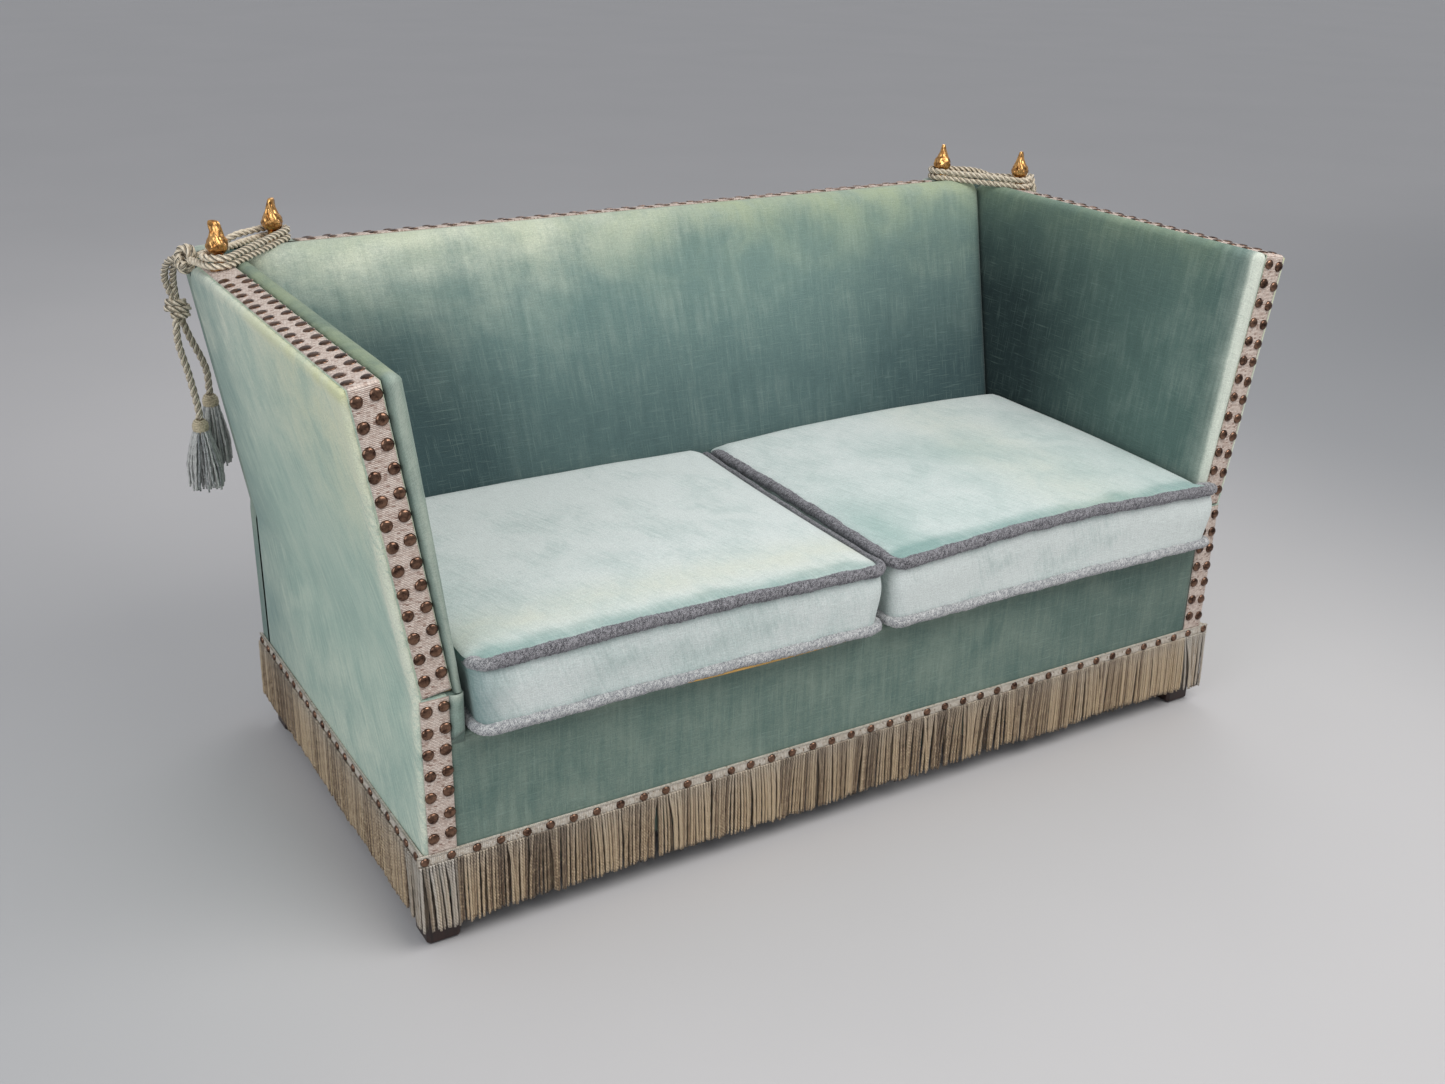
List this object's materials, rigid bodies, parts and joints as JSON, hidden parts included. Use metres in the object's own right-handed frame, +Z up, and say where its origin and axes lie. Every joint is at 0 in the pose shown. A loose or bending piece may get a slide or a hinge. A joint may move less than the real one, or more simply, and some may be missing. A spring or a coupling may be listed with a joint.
{
  "type": "knole sofa",
  "caption": "Upholstered velvet sofa with hinged drop arms tied to the back by corded finials, loose box cushions, nailed braid and a bullion fringe",
  "frame": {"origin": "on the floor, under the middle of the sofa's bounding box without its ropes", "axes": "+X to the right of someone facing the sofa's front, +Y to its back, +Z up"},
  "size_m": [1.8843, 0.9425, 0.9938],
  "materials": {
    "velvet_sage": "worn pile with slubs",
    "velvet_teal": "worn pile with slubs",
    "velvet_aqua": "worn pile",
    "braid": "woven",
    "fringe": "twisted bullion",
    "timber": "sawn",
    "foot_wood": "dark polish",
    "webbing": "woven",
    "deck_cloth": "plain weave",
    "dust_cloth": "felted",
    "brass": "cast and polished",
    "steel": "zinc plated",
    "rope": "twisted cord",
    "tassel": "twisted strands"
  },
  "bodies": {
    "seat": {"front_rail": "timber", "rear_rail": "timber", "left_side_frame": "timber", "right_side_frame": "timber", "seat_webbing": "webbing", "seat_deck": "deck_cloth", "front_apron": "velvet_teal", "left_side_cover": "velvet_sage", "right_side_cover": "velvet_sage", "dust_cover": "dust_cloth", "left_back_post": "timber", "right_back_post": "timber", "back_top_rail": "timber", "back_webbing": "webbing", "back_pad": "velvet_teal", "back_cover": "velvet_teal", "back_braid": "braid", "left_back_finial": "brass", "right_back_finial": "brass", "front_left_foot": "foot_wood", "front_right_foot": "foot_wood", "rear_left_foot": "foot_wood", "rear_right_foot": "foot_wood", "left_side_braid": "braid", "right_side_braid": "braid", "front_fringe": "fringe", "left_fringe": "fringe", "right_fringe": "fringe", "left_hinge_fixed_leaf": "steel", "right_hinge_fixed_leaf": "steel", "left_hinge_pin": "steel", "right_hinge_pin": "steel"},
    "left_arm": {"left_hinge_moving_leaf": "steel", "left_arm_cover": "velvet_sage", "left_arm_frame": "timber", "left_arm_pad": "velvet_teal", "left_arm_braid": "braid", "left_arm_finial": "brass", "left_rope_winding": "rope", "left_upper_knot": "rope", "left_lower_knot": "rope", "left_front_tail": "rope", "left_rear_tail": "rope", "left_front_tassel": "tassel", "left_rear_tassel": "tassel"},
    "right_arm": {"right_hinge_moving_leaf": "steel", "right_arm_cover": "velvet_sage", "right_arm_frame": "timber", "right_arm_pad": "velvet_teal", "right_arm_braid": "braid", "right_arm_finial": "brass", "right_rope_winding": "rope", "right_upper_knot": "rope", "right_lower_knot": "rope", "right_front_tail": "rope", "right_rear_tail": "rope", "right_front_tassel": "tassel", "right_rear_tassel": "tassel"},
    "left_cushion": {"left_seat_cushion": "velvet_aqua"},
    "right_cushion": {"right_seat_cushion": "velvet_aqua"}
  },
  "joints": [
    {"name": "left_arm_drop", "type": "hinge", "parent": "seat", "child": "left_arm", "pos_m": [-0.8086, 0, 0.427], "axis": [0, -1, 0], "range_deg": [0, 80], "deforming": ["left_rope_winding"]},
    {"name": "right_arm_drop", "type": "hinge", "parent": "seat", "child": "right_arm", "pos_m": [0.8086, 0, 0.427], "axis": [0, 1, 0], "range_deg": [0, 80], "deforming": ["right_rope_winding"]},
    {"name": "left_cushion_lift", "type": "slide", "parent": "seat", "child": "left_cushion", "axis": [0, 0, 1], "range_m": [0, 0.68]},
    {"name": "right_cushion_lift", "type": "slide", "parent": "seat", "child": "right_cushion", "axis": [0, 0, 1], "range_m": [0, 0.68]}
  ]
}
